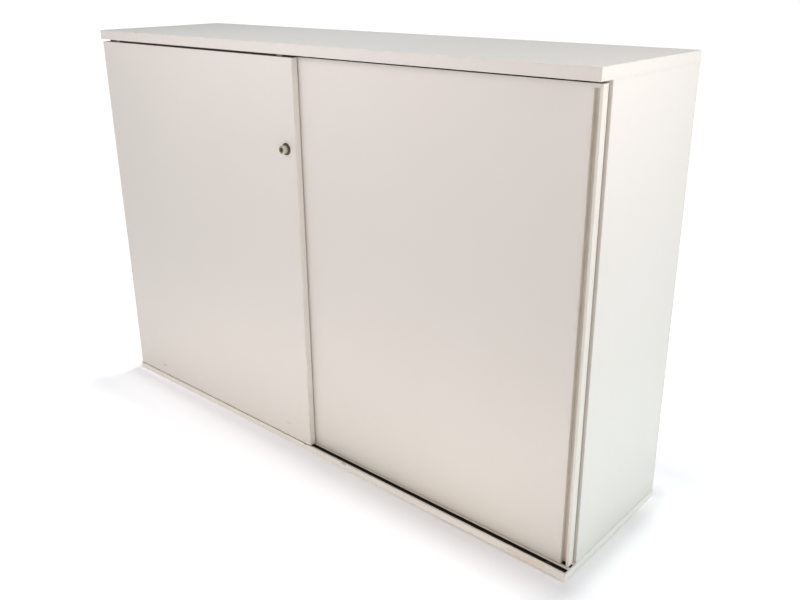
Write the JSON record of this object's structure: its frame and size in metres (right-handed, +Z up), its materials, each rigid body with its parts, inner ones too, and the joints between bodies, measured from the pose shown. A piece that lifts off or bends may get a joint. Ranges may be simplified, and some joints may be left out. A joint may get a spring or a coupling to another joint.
{
  "type": "sliding door cabinet",
  "caption": "Low wide office cabinet with overlapping sliding doors on rollers, a finger grip, adjustable shelves and a push lock.",
  "frame": {"origin": "on the floor under the middle of the top panel", "axes": "+X to the right as seen from the front, +Y to the back, +Z up"},
  "size_m": [1.6, 0.426, 1.071],
  "materials": {
    "carcass_board": "white melamine faced board, satin",
    "door_board": "warm white melamine faced board, satin",
    "back_board": "white faced fibreboard, satin",
    "grip_profile": "powder coated extrusion in the doors' colour",
    "cap_plastic": "moulded plastic in the doors' colour",
    "black_plastic": "black extruded plastic",
    "grey_plastic": "grey moulded plastic",
    "nylon": "natural nylon",
    "steel": "bright zinc plated steel",
    "lock_metal": "nickel plated",
    "zinc": "cast zinc",
    "beech": "plain beech"
  },
  "bodies": {
    "carcass": {"back_panel": "back_board", "bottom_panel": "carcass_board", "cam_bolts": "steel", "cams": "zinc", "centre_partition": "carcass_board", "dowels": "beech", "floor_glides": "black_plastic", "front_bottom_track": "black_plastic", "front_top_track": "black_plastic", "left_lower_shelf": "carcass_board", "left_side_panel": "carcass_board", "left_upper_shelf": "carcass_board", "rear_bottom_track": "black_plastic", "rear_top_track": "black_plastic", "right_lower_shelf": "carcass_board", "right_side_panel": "carcass_board", "right_upper_shelf": "carcass_board", "shelf_pins": "steel", "top_panel": "carcass_board", "track_stops": "black_plastic"},
    "left_door": {"left_door_guide_shoe_left": "grey_plastic", "left_door_guide_shoe_right": "grey_plastic", "left_door_guide_strip": "black_plastic", "left_door_panel": "door_board", "left_door_roller_axle_left": "steel", "left_door_roller_axle_right": "steel", "left_door_roller_housing_left": "black_plastic", "left_door_roller_housing_right": "black_plastic", "lock_case": "lock_metal", "lock_rosette": "lock_metal"},
    "left_door_roller_left": {"left_door_roller_left": "nylon"},
    "left_door_roller_right": {"left_door_roller_right": "nylon"},
    "lock_barrel": {"lock_barrel": "lock_metal"},
    "lock_plug": {"lock_plug": "lock_metal"},
    "right_door": {"right_door_grip": "grip_profile", "right_door_grip_cap": "cap_plastic", "right_door_guide_shoe_left": "grey_plastic", "right_door_guide_shoe_right": "grey_plastic", "right_door_guide_strip": "black_plastic", "right_door_panel": "door_board", "right_door_roller_axle_left": "steel", "right_door_roller_axle_right": "steel", "right_door_roller_housing_left": "black_plastic", "right_door_roller_housing_right": "black_plastic"},
    "right_door_roller_left": {"right_door_roller_left": "nylon"},
    "right_door_roller_right": {"right_door_roller_right": "nylon"}
  },
  "joints": [
    {"name": "left_door_slide", "type": "slide", "parent": "carcass", "child": "left_door", "axis": [1, 0, 0], "range_m": [0, 0.786]},
    {"name": "left_door_roller_left_spin", "type": "hinge", "parent": "left_door", "child": "left_door_roller_left", "pos_m": [-0.736, -0.195, 0.0282], "axis": [0, 1, 0], "continuous": true},
    {"name": "left_door_roller_right_spin", "type": "hinge", "parent": "left_door", "child": "left_door_roller_right", "pos_m": [-0.05, -0.195, 0.0282], "axis": [0, 1, 0], "continuous": true},
    {"name": "right_door_slide", "type": "slide", "parent": "carcass", "child": "right_door", "axis": [1, 0, 0], "range_m": [-0.78, 0]},
    {"name": "right_door_roller_left_spin", "type": "hinge", "parent": "right_door", "child": "right_door_roller_left", "pos_m": [0.047, -0.174, 0.0282], "axis": [0, 1, 0], "continuous": true},
    {"name": "right_door_roller_right_spin", "type": "hinge", "parent": "right_door", "child": "right_door_roller_right", "pos_m": [0.733, -0.174, 0.0282], "axis": [0, 1, 0], "continuous": true},
    {"name": "lock_push", "type": "slide", "parent": "left_door", "child": "lock_barrel", "axis": [0, 1, 0], "range_m": [0, 0.009], "stiffness_N_per_m": 300},
    {"name": "key_turn", "type": "hinge", "parent": "lock_barrel", "child": "lock_plug", "pos_m": [-0.023, -0.204, 0.826], "axis": [0, 1, 0], "range_deg": [0, 90]}
  ],
  "couplings": [
    {"joint": "left_door_roller_left_spin", "follows": "left_door_slide", "rad_per_m": 90.909},
    {"joint": "left_door_roller_right_spin", "follows": "left_door_slide", "rad_per_m": 90.909},
    {"joint": "right_door_roller_left_spin", "follows": "right_door_slide", "rad_per_m": 90.909},
    {"joint": "right_door_roller_right_spin", "follows": "right_door_slide", "rad_per_m": 90.909}
  ]
}
